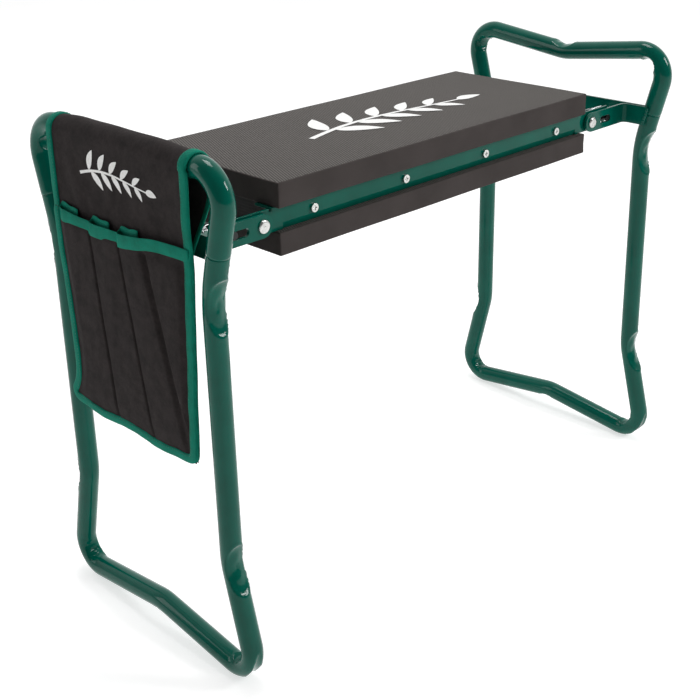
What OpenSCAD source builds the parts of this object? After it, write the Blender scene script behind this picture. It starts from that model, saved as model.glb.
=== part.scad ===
// Folding garden kneeler and seat. +X runs along the seat to the right, +Y to the back, +Z up.
// The origin is on the ground under the middle of the seat. The same padded deck is a seat this
// way up and a kneeling deck upside down, so each side of it carries one foam pad.

/* [Seat deck] */
// Length of both foam pads
pad_length = 443; // [400:1:450]
// Width of both foam pads
pad_width = 187; // [180:1:190]
// Thickness of the sitting pad
seat_pad_thick = 22.8; // [15:0.1:25]
// Thickness of the kneeling pad
kneel_pad_thick = 21.2; // [15:0.1:23]
// Height of the upper face of the steel rails above the ground
deck_top = 418.7; // [412:0.1:422]
// Height of the steel rails
rail_height = 21.5; // [21:0.1:23]
// Distance between the outer faces of the two rails
rail_spread = 173.6; // [170:0.1:176]

/* [Leg frames] */
// Outer diameter of the leg and handle tubes
tube_d = 20; // [18:0.1:21]
// Wall thickness of the tubes
tube_wall = 1.2; // [1:0.1:1.5]
// Distance from the middle of the seat to the plane of each leg frame
frame_x = 309; // [308:0.1:310]
// Height of the upper corners of the handles, on the tube's centre line
handle_top = 481.6; // [478:0.1:486]
// Height of the sleeve joint between the handle and the foot frame
joint_z = 409; // [405:0.5:413]
// Height of the waist bend
waist_z = 371.8; // [366:0.1:374]
// Height of the bend where the legs start to spread to the feet
spread_z = 121.3; // [110:0.1:140]

/* [Hinges and lock] */
// Distance from the middle of the seat to each fold hinge
pivot_x = 236.7; // [236:0.1:238]
// Thickness of the hinge arms
arm_thick = 3; // [2.5:0.1:3.2]
// Diameter of the lock rods
rod_d = 7.2; // [6:0.1:7.4]
// Travel of a lock rod in its slots
rod_travel = 10; // [6:0.5:10]

/* [Tool pouch] */
// Width of the pouch along the handle
pouch_width = 196; // [160:1:200]
// Height of the pouch's lower edge above the ground
pouch_bottom = 214; // [190:1:260]
// Height of the pocket mouths
pocket_top = 405; // [380:1:406]
// Distance that the pockets stand out from the pouch's panel
pocket_bulge = 5.4; // [5.4:0.1:6]

/* [Hidden] */
$fn = 48;

LEFT = -1;
RIGHT = 1;
FRONT = -1;
REAR = 1;
eps = 0.05;                     // gap between pieces of one body that touch

// Seat deck
deck_bottom = deck_top - rail_height;
rail_wall = 2;                  // sheet thickness of the rails
rail_face = rail_spread / 2;    // outer face of a rail
rail_flange = 22;               // depth of the rail's flanges
rail_half = 223.5;              // half the length of the flanged part
lip_height = 6;                 // lower band of the rail, which leans inwards
lip_lean = 1.6;
pad_corner_r = 3;
board_half = 219.5;
board_gap = 0.2;
mid_z = (deck_top + deck_bottom) / 2;

// Hinges
pivot_z = mid_z - 1.3;
tongue_r = 10;                  // rounded end of the rail about the hinge
tongue_half = 9.4;
nose_reach = 34;                // length of the rail's stop nose past the hinge
rivet_r = 4;
rivet_clear = 0.05;             // running fit of the arms on the rivets
rivet_head_r = 6;
rivet_head_h = 2.4;
washer_r = 9;
washer_gap = 1.4;               // space between a rail and its arm
arm_in = rail_face + washer_gap;
arm_out = arm_in + arm_thick;
arm_height = 21;
arm_bend_x = 293;               // where the arm starts to turn outwards
arm_bend_r = 5;                 // inside radius of that turn

// Lock
slot_half = rod_d / 2 + 0.25;
rod_x = pivot_x + 31;           // rest place of a rod, at the outer end of its slots
rod_z = pivot_z - 0.5;
slot_inner_x = rod_x - rod_travel - 1.5;
nose_z = rod_z + rod_d / 2 + 0.3;
collar_r = 6;
collar_w = 2;
spring_y = 62;
spring_r = 4.5;
spring_wire = 1.1;

// Tubes
tube_r = tube_d / 2;
spigot_gap = 0.1;
spigot_r = tube_r - tube_wall - spigot_gap;
spigot_length = 26;
// Centre line of one side of the handle and of the foot frame, as [y, z]
handle_corner = [140.5, handle_top];
handle_middle = [0, handle_top - 17.6];
waist = [111.4, waist_z];
spread = [112.3, spread_z];
foot_corner = [141.4, 5.6];     // where the straights would meet
foot_middle = [0, 23.5];
side_lean = (handle_corner.x - waist.x) / (handle_corner.y - waist.y);
upper_way = unit(handle_corner - waist);
joint_point = [waist.x + side_lean * (joint_z - waist.y), joint_z];
root_length = 6;                // root of the spigot inside the foot frame's end
root_step = 0.4;
root_band = 4;                  // its thicker part, which joins it to the tube
spigot_root = joint_point - root_length * upper_way;
corner_r = 27;
foot_corner_r = 25;
waist_r = 150;
spread_r = 80;
middle_r = 60;
bend_lap = 0.6;                 // length of a straight that covers each end of a bend
bend_skin = 0.16;               // a bend is thinner than its straights by this much each side
plate_thick = 3;
plate_in = arm_bend_x + arm_bend_r + arm_thick + eps;   // inner face of a cross plate

// Pouch
cloth = 1.6;
handle_gap = 0.9;
panel_x = frame_x + tube_r + 0.6; // inner face of the front panel
binding_w = 9;
pocket_wall = 1;
pocket_seams = [31, -9];        // where the pockets are sewn to the panel
pocket_binding_h = 11;
saddle_z = handle_top - 4;      // middle of the round part over the handle
saddle_r = tube_r + handle_gap; // its inner radius
saddle_lap = 2;                 // how far it laps down over the flat cloth
flat_lap = 0.5;
flap_turn_z = handle_middle.y - 12;
flap_x = panel_x - 2.6;         // outer face of the flap where it meets the closure
flap_low_z = pocket_top - 19;
closure_h = 16;

function unit(v) = v / norm(v);
function turn(a, b) = atan2(a.x * b.y - a.y * b.x, a * b);
function heading(v) = atan2(v.y, v.x);
function mirrored(points) = [for (i = [len(points) - 1:-1:0]) [-points[i].x, points[i].y]];
function mirrored_list(values) = [for (i = [len(values) - 1:-1:0]) values[i]];
// Length that the fillet at corner i takes from each of its two straights
function cut_back(points, radii, i) =
    i == 0 || i == len(points) - 1 ? 0
    : radii[i] * tan(abs(turn(points[i] - points[i - 1], points[i + 1] - points[i])) / 2);

// A flat ring, or a disc where the wall is 0
module ring(r, wall) {
    difference() {
        circle(r = r);
        if (wall > 0) circle(r = r - wall);
    }
}

// A round tube in the Y-Z plane along points [y, z], with a bend of the given radius at each one.
// Each bend is drawn a hair thinner than the straights, which lap over its ends.
module bent_tube(points, radii, r, wall) {
    last = len(points) - 1;
    for (i = [0:last - 1]) {
        way = unit(points[i + 1] - points[i]);
        start = points[i] + way * (cut_back(points, radii, i) - (i == 0 ? 0 : bend_lap));
        stop = points[i + 1]
               - way * (cut_back(points, radii, i + 1) - (i + 1 == last ? 0 : bend_lap));
        translate([0, start.x, start.y])
            rotate([heading(way) - 90, 0, 0])
                linear_extrude(norm(stop - start)) ring(r, wall);
    }
    for (i = [1:last - 1]) {
        before = unit(points[i] - points[i - 1]);
        after = unit(points[i + 1] - points[i]);
        angle = turn(before, after);
        side = sign(angle);
        hub = points[i] - before * cut_back(points, radii, i)
              + side * radii[i] * [-before.y, before.x];
        first = heading(before) - side * 90 + min(angle, 0);
        translate([0, hub.x, hub.y])
            rotate([90, 0, 90])
                rotate([0, 0, first])
                    rotate_extrude(angle = abs(angle))
                        translate([radii[i], 0]) ring(r - bend_skin, wall - 2 * bend_skin);
    }
}

// A slab with round upright corners, standing on z = 0
module slab(length, width, thick, r) {
    for (way = [[length, width - 2 * r], [length - 2 * r, width]])
        translate([-way.x / 2, -way.y / 2, 0]) cube([way.x, way.y, thick]);
    for (x = [-1, 1], y = [-1, 1])
        translate([x * (length / 2 - r), y * (width / 2 - r), 0]) cylinder(h = thick, r = r);
}

// Puts children drawn for the right-hand end at either end
module at_end(end) {
    mirror([end == LEFT ? 1 : 0, 0, 0]) children();
}

// Puts children drawn for the rear at either side
module at_side(side) {
    mirror([0, side == FRONT ? 1 : 0, 0]) children();
}

// A cylinder along +Y from y = from to y = to
module y_rod(x, z, r, from, to) {
    translate([x, from, z]) rotate([-90, 0, 0]) cylinder(h = to - from, r = r);
}

// ---- Seat deck ----

module seat_pad() {
    color("dimgray")
        translate([0, 0, deck_top + eps])
            slab(pad_length, pad_width, seat_pad_thick - eps, pad_corner_r);
}

module kneeling_pad() {
    color("dimgray")
        translate([0, 0, deck_bottom - kneel_pad_thick])
            slab(pad_length, pad_width, kneel_pad_thick - eps, pad_corner_r);
}

screw_xs = [-175.4, -58.3, 58.3, 175.4];
screw_r = 2;
screw_clear = 0.05;
screw_head_r = 4;
screw_head_h = 2.2;
screw_length = 16;

// Holes for the rail screws, from the rail's face inwards
module screw_holes() {
    for (x = screw_xs)
        y_rod(x, mid_z, screw_r + screw_clear, rail_face - screw_length - 1, rail_face + 1);
}

module core_board() {
    inner = rail_face - rail_flange - board_gap;
    outer = rail_face - rail_wall - lip_lean - board_gap;
    step = rail_wall + board_gap;
    color("saddlebrown")
        difference() {
            union() {
                translate([-board_half, -inner, deck_bottom + eps])
                    cube([2 * board_half, 2 * inner, rail_height - eps]);
                translate([-board_half, -outer, deck_bottom + step])
                    cube([2 * board_half, 2 * outer, rail_height - 2 * step]);
            }
            for (side = [FRONT, REAR]) at_side(side) screw_holes();
        }
}

// Outline of a rail across the seat: a channel whose lower band leans inwards
module rail_profile() {
    y = rail_face;
    polygon([[y - rail_flange, deck_top], [y, deck_top], [y, deck_bottom + lip_height],
             [y - lip_lean, deck_bottom], [y - rail_flange, deck_bottom],
             [y - rail_flange, deck_bottom + rail_wall],
             [y - lip_lean - rail_wall, deck_bottom + rail_wall],
             [y - rail_wall, deck_bottom + lip_height],
             [y - rail_wall, deck_top - rail_wall], [y - rail_flange, deck_top - rail_wall]]);
}

// Flat end of a rail: it carries the hinge, and its nose stops the lock rod
module rail_end() {
    difference() {
        union() {
            y_rod(pivot_x, pivot_z, tongue_r, rail_face - rail_wall, rail_face);
            translate([rail_half - 12, rail_face - rail_wall, pivot_z - tongue_half])
                cube([pivot_x - rail_half + 12, rail_wall, 2 * tongue_half]);
            translate([pivot_x - tongue_r, rail_face - rail_wall, nose_z])
                cube([tongue_r + nose_reach, rail_wall, deck_top - nose_z]);
        }
        y_rod(pivot_x, pivot_z, rivet_r + screw_clear, rail_face - 2 * rail_wall, rail_face + 1);
    }
}

module rail(side) {
    color("darkslategray")
        at_side(side)
            difference() {
                union() {
                    translate([-rail_half, 0, 0])
                        rotate([90, 0, 90]) linear_extrude(2 * rail_half) rail_profile();
                    for (end = [LEFT, RIGHT]) at_end(end) rail_end();
                }
                screw_holes();
            }
}

module front_rail() { rail(FRONT); }
module rear_rail() { rail(REAR); }

// Four pan-head screws with cross slots
module rail_screws(side) {
    slot_w = 1;
    slot_l = 4.4;
    color("silver")
        at_side(side)
            for (x = screw_xs) {
                y_rod(x, mid_z, screw_r, rail_face - screw_length, rail_face);
                difference() {
                    y_rod(x, mid_z, screw_head_r, rail_face + eps, rail_face + screw_head_h);
                    for (size = [[slot_l, slot_w], [slot_w, slot_l]])
                        translate([x - size.x / 2, rail_face + screw_head_h - 1, mid_z - size.y / 2])
                            cube([size.x, 2, size.y]);
                }
                y_rod(x, mid_z, screw_r, rail_face - eps, rail_face + 1);
            }
}

module front_rail_screws() { rail_screws(FRONT); }
module rear_rail_screws() { rail_screws(REAR); }

// Outline of a hinge rivet from its axis: tail, shank and domed head
module rivet_profile() {
    tail_h = 1.8;
    shank_in = rail_face - rail_wall - eps;
    shank_out = arm_out + rivet_clear;
    dome_steps = 8;
    polygon(concat(
        [[0, shank_in - tail_h], [rivet_head_r - 1, shank_in - tail_h],
         [rivet_head_r - 1, shank_in], [rivet_r, shank_in], [rivet_r, shank_out],
         [rivet_head_r, shank_out]],
        [for (i = [0:dome_steps])
            let (a = 90 * i / dome_steps)
            [rivet_head_r * (0.6 + 0.4 * cos(a)) * (i == dome_steps ? 0 : 1),
             shank_out + rivet_head_h * (0.4 + 0.6 * sin(a))]]));
}

module pivot_rivets(end) {
    color("silver")
        at_end(end)
            for (side = [FRONT, REAR])
                at_side(side)
                    translate([pivot_x, 0, pivot_z])
                        rotate([-90, 0, 0]) rotate_extrude() rivet_profile();
}

module left_pivot_rivets() { pivot_rivets(LEFT); }
module right_pivot_rivets() { pivot_rivets(RIGHT); }

module pivot_washers(end) {
    color("gray")
        at_end(end)
            for (side = [FRONT, REAR])
                at_side(side)
                    difference() {
                        y_rod(pivot_x, pivot_z, washer_r, rail_face + eps, arm_in - eps);
                        y_rod(pivot_x, pivot_z, rivet_r + screw_clear, rail_face, arm_in);
                    }
}

module left_pivot_washers() { pivot_washers(LEFT); }
module right_pivot_washers() { pivot_washers(RIGHT); }

// ---- Leg frames ----

module handle_tube(end) {
    points = concat([joint_point], [handle_corner, handle_middle], [mirrored([handle_corner])[0]],
                    mirrored([joint_point]));
    color("seagreen")
        translate([end * frame_x, 0, 0])
            bent_tube(points, [0, corner_r, middle_r, corner_r, 0], tube_r, tube_wall);
}

module left_handle_tube() { handle_tube(LEFT); }
module right_handle_tube() { handle_tube(RIGHT); }

// The foot frame ends in a reduced spigot inside each end of the handle
module foot_tube(end) {
    half = [joint_point - eps * upper_way, waist, spread, foot_corner];
    radii = [0, waist_r, spread_r, foot_corner_r];
    color("seagreen")
        translate([end * frame_x, 0, 0]) {
            bent_tube(concat(half, [foot_middle], mirrored(half)),
                      concat(radii, [middle_r], mirrored_list(radii)), tube_r, tube_wall);
            for (side = [FRONT, REAR])
                at_side(side)
                    translate([0, spigot_root.x, spigot_root.y])
                        rotate([heading(upper_way) - 90, 0, 0]) {
                            linear_extrude(spigot_length + root_length) ring(spigot_r, tube_wall);
                            linear_extrude(root_band)
                                ring(tube_r - root_step, tube_wall + 2 * root_step);
                        }
        }
}

module left_foot_tube() { foot_tube(LEFT); }
module right_foot_tube() { foot_tube(RIGHT); }

// The tubes' own space near the brackets, so that plates and arms end on the tubes
module tube_space() {
    reach = 40;
    foot = joint_point - reach * upper_way;
    for (side = [FRONT, REAR])
        at_side(side)
            translate([frame_x, foot.x, foot.y])
                rotate([heading(upper_way) - 90, 0, 0]) cylinder(h = 2 * reach, r = tube_r + eps);
}

module cross_plate(end) {
    color("seagreen")
        at_end(end)
            difference() {
                translate([plate_in, -joint_point.x, deck_bottom])
                    cube([plate_thick, 2 * joint_point.x, arm_height - 0.6]);
                tube_space();
            }
}

module left_cross_plate() { cross_plate(LEFT); }
module right_cross_plate() { cross_plate(RIGHT); }

// Outline of an arm from above, drawn for the rear: straight, turned outwards, and along the plate
module arm_path() {
    y = arm_in;
    hub_y = arm_out + arm_bend_r;
    translate([pivot_x, y]) square([arm_bend_x - pivot_x, arm_thick]);
    translate([arm_bend_x, hub_y])
        intersection() {
            ring(arm_bend_r + arm_thick, arm_thick);
            translate([0, -hub_y]) square([hub_y, hub_y]);
        }
    translate([arm_bend_x + arm_bend_r, hub_y]) square([arm_thick, joint_point.x - hub_y]);
}

module arm(end, side) {
    color("seagreen")
        at_end(end)
            at_side(side)
                difference() {
                    union() {
                        translate([0, 0, pivot_z - arm_height / 2])
                            linear_extrude(arm_height) arm_path();
                        y_rod(pivot_x, pivot_z, arm_height / 2, arm_in, arm_out);
                    }
                    y_rod(pivot_x, pivot_z, rivet_r + rivet_clear, arm_in - 1, arm_out + 1);
                    y_rod(rod_x, rod_z, slot_half, arm_in - 1, arm_out + 1);
                    y_rod(slot_inner_x, rod_z, slot_half, arm_in - 1, arm_out + 1);
                    translate([slot_inner_x, arm_in - 1, rod_z - slot_half])
                        cube([rod_x - slot_inner_x, arm_thick + 2, 2 * slot_half]);
                    tube_space();
                }
}

module left_front_arm() { arm(LEFT, FRONT); }
module left_rear_arm() { arm(LEFT, REAR); }
module right_front_arm() { arm(RIGHT, FRONT); }
module right_rear_arm() { arm(RIGHT, REAR); }

// ---- Lock rods ----

module lock_rod(end) {
    color("silver")
        y_rod(end * rod_x, rod_z, rod_d / 2, -(arm_out - 0.4), arm_out - 0.4);
}

module left_lock_rod() { lock_rod(LEFT); }
module right_lock_rod() { lock_rod(RIGHT); }

// Collars just inside the rails keep a rod from sliding out sideways
module rod_collars(end) {
    y = rail_face - rail_wall - 0.5;
    color("gray")
        for (side = [FRONT, REAR])
            at_side(side)
                difference() {
                    y_rod(end * rod_x, rod_z, collar_r, y - collar_w, y);
                    y_rod(end * rod_x, rod_z, rod_d / 2 + eps, y - collar_w - 1, y + 1);
                }
}

module left_rod_collars() { rod_collars(LEFT); }
module right_rod_collars() { rod_collars(RIGHT); }

// Two springs from the cross plate pull a rod outwards
module lock_springs(end) {
    from = rod_x + rod_d / 2 + 0.3;
    color("silver")
        for (side = [FRONT, REAR])
            at_end(end)
                translate([from, side * spring_y, rod_z])
                    rotate([0, 90, 0])
                        linear_extrude(plate_in - eps - from) ring(spring_r, spring_wire);
}

module left_lock_springs() { lock_springs(LEFT); }
module right_lock_springs() { lock_springs(RIGHT); }

// ---- Tool pouch on the left frame ----

// The part of the pouch that lies over the handle, from y = from to y = to, cloth or tape
module saddle(from, to, inner, thick) {
    translate([-frame_x, to, saddle_z])
        rotate([90, 0, 0])
            linear_extrude(to - from)
                difference() {
                    circle(r = inner + thick);
                    circle(r = inner);
                    translate([-2 * inner, -3 * inner - saddle_lap])
                        square([4 * inner, 3 * inner]);
                }
}

// Outline of the back flap: down the inner side of the handle and in to the panel, as [x, z]
module flap_section() {
    inner = 2 * frame_x - panel_x;
    top = saddle_z + flat_lap;
    polygon([[-inner, top], [-inner, flap_turn_z], [-flap_x, flap_low_z + closure_h],
             [-flap_x, flap_low_z], [-flap_x + cloth, flap_low_z],
             [-flap_x + cloth, flap_low_z + closure_h], [-inner + cloth, flap_turn_z],
             [-inner + cloth, top]]);
}

module pouch_panel() {
    half = pouch_width / 2 - binding_w;
    color("black") {
        saddle(-half, half, saddle_r, cloth);
        translate([-panel_x - cloth, -half, pouch_bottom + binding_w])
            cube([cloth, 2 * half, saddle_z + flat_lap - pouch_bottom - binding_w]);
        translate([0, half, 0]) rotate([90, 0, 0]) linear_extrude(2 * half) flap_section();
    }
}

module pouch_pockets() {
    half = pouch_width / 2 - binding_w;
    edges = concat([half], pocket_seams, [-half]);
    depth = pocket_bulge - pocket_wall;
    base = pouch_bottom + binding_w;
    color("black")
        difference() {
            translate([-panel_x - cloth - eps - pocket_bulge, -half, base])
                cube([pocket_bulge, 2 * half, pocket_top - base]);
            for (i = [0:len(edges) - 2])
                translate([-panel_x - cloth - eps - depth, edges[i + 1] + pocket_wall,
                           base + pocket_wall])
                    cube([depth + 1, edges[i] - edges[i + 1] - 2 * pocket_wall, pocket_top]);
        }
}

// Woven tape along the two sides, over the handle and along the lower edge
module pouch_edge_binding() {
    half = pouch_width / 2;
    tape = 0.5;                 // how far it stands out from the cloth on each side
    color("teal") {
        for (side = [FRONT, REAR])
            at_side(side) {
                translate([-panel_x - cloth - tape, half - binding_w + eps, pouch_bottom])
                    cube([cloth + 2 * tape, binding_w - eps, saddle_z + flat_lap - pouch_bottom]);
                saddle(half - binding_w + eps, half, saddle_r - tape / 2, cloth + 1.5 * tape);
            }
        translate([-panel_x - cloth - tape, -half, pouch_bottom])
            cube([cloth + 2 * tape, 2 * half, binding_w - eps]);
    }
}

// Woven tape along the mouths of the pockets, one piece for each pocket
module pouch_pocket_binding() {
    half = pouch_width / 2 - binding_w;
    edges = concat([half], pocket_seams, [-half]);
    tuck = 2.5;
    color("teal")
        for (i = [0:len(edges) - 2])
            translate([-panel_x - cloth - 2 * eps - pocket_bulge - 0.5, edges[i + 1] + tuck,
                       pocket_top - pocket_binding_h])
                cube([0.5, edges[i] - edges[i + 1] - 2 * tuck, pocket_binding_h]);
}

// Hook-and-loop strip that holds the back flap to the panel, under the handle
module pouch_closure() {
    half = pouch_width / 2 - 2 * binding_w;
    color("dimgray")
        translate([-panel_x + eps, -half, flap_low_z])
            cube([panel_x - flap_x - 2 * eps, 2 * half, closure_h - 1]);
}

seat_pad();
kneeling_pad();
core_board();
front_rail();
rear_rail();
front_rail_screws();
rear_rail_screws();
left_pivot_rivets();
right_pivot_rivets();
left_pivot_washers();
right_pivot_washers();
left_handle_tube();
left_foot_tube();
left_cross_plate();
left_front_arm();
left_rear_arm();
right_handle_tube();
right_foot_tube();
right_cross_plate();
right_front_arm();
right_rear_arm();
left_lock_rod();
right_lock_rod();
left_rod_collars();
right_rod_collars();
left_lock_springs();
right_lock_springs();
pouch_panel();
pouch_pockets();
pouch_edge_binding();
pouch_pocket_binding();
pouch_closure();
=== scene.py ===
import math

import bmesh
import bpy
import numpy as np
from mathutils import Matrix, Vector


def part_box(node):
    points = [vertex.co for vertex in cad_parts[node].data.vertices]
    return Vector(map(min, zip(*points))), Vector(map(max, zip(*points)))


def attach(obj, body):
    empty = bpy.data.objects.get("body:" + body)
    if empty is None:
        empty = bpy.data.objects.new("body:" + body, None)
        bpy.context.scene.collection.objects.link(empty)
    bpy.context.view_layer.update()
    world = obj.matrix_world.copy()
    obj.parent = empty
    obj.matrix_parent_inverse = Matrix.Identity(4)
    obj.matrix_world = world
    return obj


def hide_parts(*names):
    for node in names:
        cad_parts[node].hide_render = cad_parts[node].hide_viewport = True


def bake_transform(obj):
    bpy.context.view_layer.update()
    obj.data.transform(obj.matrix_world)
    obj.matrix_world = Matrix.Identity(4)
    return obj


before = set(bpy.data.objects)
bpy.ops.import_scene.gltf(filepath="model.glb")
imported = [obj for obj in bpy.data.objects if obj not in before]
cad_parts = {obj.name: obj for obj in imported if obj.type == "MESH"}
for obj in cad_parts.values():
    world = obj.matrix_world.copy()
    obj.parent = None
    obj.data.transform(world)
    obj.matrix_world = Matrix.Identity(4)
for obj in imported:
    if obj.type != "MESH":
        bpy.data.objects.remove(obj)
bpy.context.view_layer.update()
MM = 0.001
scene = bpy.context.scene
scene.view_settings.view_transform = "Standard"


# ---------------------------------------------------------------- camera, floor and light

def make_camera():
    """At the photograph's viewing angle: millimetres and degrees in the CAD frame."""
    place = Vector((-845.37, -824.25, 731.07)) * MM
    yaw, pitch, roll = math.radians(44.30), math.radians(21.47), math.radians(-1.17)
    forward = Vector((math.sin(yaw) * math.cos(pitch), math.cos(yaw) * math.cos(pitch), -math.sin(pitch)))
    level = Vector((math.cos(yaw), -math.sin(yaw), 0))
    upright = level.cross(forward)
    right = level * math.cos(roll) + upright * math.sin(roll)
    up = right.cross(forward)
    data = bpy.data.cameras.new("camera")
    data.sensor_width = 36
    data.lens = 61.46
    data.shift_x, data.shift_y = -0.0082, -0.1010
    cam = bpy.data.objects.new("camera", data)
    scene.collection.objects.link(cam)
    turn = Matrix((right, up, -forward)).transposed().to_4x4()
    cam.matrix_world = Matrix.Translation(place) @ turn
    scene.camera = cam


def area_light(name, place, target, size, power):
    """A rectangular lamp aimed at a target: metres and watts."""
    data = bpy.data.lights.new(name, "AREA")
    data.shape = "RECTANGLE"
    data.size, data.size_y = size
    data.energy = power
    lamp = bpy.data.objects.new(name, data)
    scene.collection.objects.link(lamp)
    lamp.location = place
    lamp.rotation_euler = (Vector(target) - Vector(place)).to_track_quat("-Z", "Y").to_euler()


def node(tree, kind, **values):
    """A shader node, with values for its sockets or its settings."""
    made = tree.nodes.new(kind)
    for key, value in values.items():
        if key in made.inputs:
            made.inputs[key].default_value = value
        else:
            setattr(made, key, value)
    return made


def material(name, color, rough, metal=0.0, **sockets):
    """A Principled material, and its tree and shader. sockets are set on the shader itself."""
    made = bpy.data.materials.new(name)
    made.use_nodes = True
    tree = made.node_tree
    shader = tree.nodes["Principled BSDF"]
    shader.inputs["Base Color"].default_value = (*color, 1)
    shader.inputs["Roughness"].default_value = rough
    shader.inputs["Metallic"].default_value = metal
    for key, value in sockets.items():
        shader.inputs[key.replace("_", " ")].default_value = value
    made.diffuse_color = (*color, 1)
    return made, tree, shader


def place_of(tree):
    return node(tree, "ShaderNodeTexCoord").outputs["Object"]


def noise(tree, scale, detail=3.0, rough=0.5, place=None):
    """Noise from 0 to 1 over a place, by default the object's own."""
    made = node(tree, "ShaderNodeTexNoise", Scale=scale, Detail=detail, Roughness=rough)
    tree.links.new(place if place else place_of(tree), made.inputs["Vector"])
    return made.outputs["Fac"]


def math_node(tree, operation, a, b=None, c=None):
    made = node(tree, "ShaderNodeMath", operation=operation)
    for i, value in enumerate((a, b, c)):
        if value is None:
            continue
        if isinstance(value, (int, float)):
            made.inputs[i].default_value = value
        else:
            tree.links.new(value, made.inputs[i])
    return made.outputs[0]


def ramp(tree, fac, *stops):
    """Colours blended over a factor, from stops of (position, colour)."""
    made = node(tree, "ShaderNodeValToRGB")
    tree.links.new(fac, made.inputs["Fac"])
    while len(made.color_ramp.elements) < len(stops):
        made.color_ramp.elements.new(0.5)
    for element, (at, color) in zip(made.color_ramp.elements, stops):
        element.position = at
        element.color = (*color, 1) if len(color) == 3 else color
    return made.outputs["Color"]


def bump(tree, shader, height, strength, distance, under=None):
    """Bumps on a shader, on top of another normal if one is given."""
    made = node(tree, "ShaderNodeBump", Strength=strength, Distance=distance)
    tree.links.new(height, made.inputs["Height"])
    if under is not None:
        tree.links.new(under, made.inputs["Normal"])
    tree.links.new(made.outputs["Normal"], shader.inputs["Normal"])
    return made.outputs["Normal"]


def wave(tree, place, direction, pitch):
    """A sine of the place along a direction, from -1 to 1."""
    made = node(tree, "ShaderNodeVectorMath", operation="DOT_PRODUCT")
    tree.links.new(place, made.inputs[0])
    made.inputs[1].default_value = Vector(direction).normalized() * (2 * math.pi / pitch)
    return math_node(tree, "SINE", made.outputs["Value"])


def rounded_edges(tree, radius):
    """A normal that rounds sharp edges off."""
    made = node(tree, "ShaderNodeBevel", samples=4, Radius=radius)
    return made.outputs["Normal"]


def make_paint(name, shine, edge=0.0):
    """Glossy powder coat: orange peel, slow waves in the gloss, and a little depth in the green."""
    made, tree, shader = material(name, (0.0, 0.088, 0.061), 0.10, Coat_Weight=0.05, Coat_Roughness=0.03)
    shader.inputs["Specular IOR Level"].default_value = shine
    fine = noise(tree, 900, 2)
    slow = noise(tree, 38, 3)
    color = ramp(tree, slow, (0.25, (0.0, 0.080, 0.056)), (0.75, (0.0, 0.104, 0.072)))
    tree.links.new(color, shader.inputs["Base Color"])
    gloss = ramp(tree, noise(tree, 120, 4), (0.3, (0.06,) * 3), (0.7, (0.12,) * 3))
    tree.links.new(gloss, shader.inputs["Roughness"])
    under = rounded_edges(tree, edge) if edge else None
    first = bump(tree, shader, slow, 0.08, 0.0012, under)
    bump(tree, shader, fine, 0.10, 0.00025, first)
    return made


def make_foam():
    """Closed-cell foam: fine skinned sides, and a ribbed diamond emboss on the two wide faces, whose ribs also
    carry painted highlight and shade in their colour.
    """
    made, tree, shader = material("foam_finish", (0.060, 0.053, 0.049), 0.72)
    shader.inputs["Specular IOR Level"].default_value = 0.18
    place = place_of(tree)
    a = wave(tree, place, (1, -0.42, 0), 0.0025)
    b = wave(tree, place, (0.30, 1, 0), 0.0030)
    ribs = math_node(tree, "MULTIPLY", math_node(tree, "ADD", a, math_node(tree, "MULTIPLY", b, 0.7)), 0.55)
    normal = node(tree, "ShaderNodeNewGeometry").outputs["True Normal"]
    parts = node(tree, "ShaderNodeSeparateXYZ")
    tree.links.new(normal, parts.inputs[0])
    flat = math_node(tree, "GREATER_THAN", math_node(tree, "ABSOLUTE", parts.outputs["Z"]), 0.995)
    emboss = math_node(tree, "MULTIPLY", ribs, flat)
    mottled = ramp(tree, noise(tree, 25, 4), (0.3, (0.038, 0.031, 0.029)), (0.7, (0.050, 0.041, 0.039)))
    # painted highlight and shade: the emboss ribs' crests are coloured light and their grooves dark
    light = math_node(tree, "MULTIPLY_ADD", emboss, 0.5, 0.5)
    rib_painted_highlight_and_shade = ramp(tree, light, (0.15, (0.020, 0.018, 0.017)), (0.85, (0.132, 0.120, 0.111)))
    mix = node(tree, "ShaderNodeMix", data_type="RGBA")
    tree.links.new(flat, mix.inputs["Factor"])
    tree.links.new(mottled, mix.inputs["A"])
    tree.links.new(rib_painted_highlight_and_shade, mix.inputs["B"])
    tree.links.new(mix.outputs["Result"], shader.inputs["Base Color"])
    first = bump(tree, shader, emboss, 0.9, 0.0004)
    bump(tree, shader, noise(tree, 1400, 3, 0.7), 0.25, 0.00025, first)
    return made


def make_weave(name, dark, light, pitch, rough, across, along, sheen=0.25, depth=0.0002):
    """Plain woven cloth: two crossing sets of threads, with uneven yarn."""
    made, tree, shader = material(name, light, rough, Sheen_Weight=sheen, Sheen_Roughness=0.5)
    shader.inputs["Specular IOR Level"].default_value = 0.12
    place = place_of(tree)
    threads = math_node(tree, "MULTIPLY", wave(tree, place, across, pitch), wave(tree, place, along, pitch))
    yarn = noise(tree, 420, 4, 0.65)
    height = math_node(tree, "MULTIPLY_ADD", yarn, 0.8, math_node(tree, "MULTIPLY", threads, 0.5))
    slow = math_node(tree, "MULTIPLY_ADD", noise(tree, 70, 5, 0.7), 0.7, math_node(tree, "MULTIPLY", yarn, 0.3))
    tint = math_node(tree, "ADD", math_node(tree, "MULTIPLY", threads, 0.16), slow)
    color = ramp(tree, tint, (0.25, dark), (0.8, light))
    tree.links.new(color, shader.inputs["Base Color"])
    bump(tree, shader, height, 0.55, depth)
    return made


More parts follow.
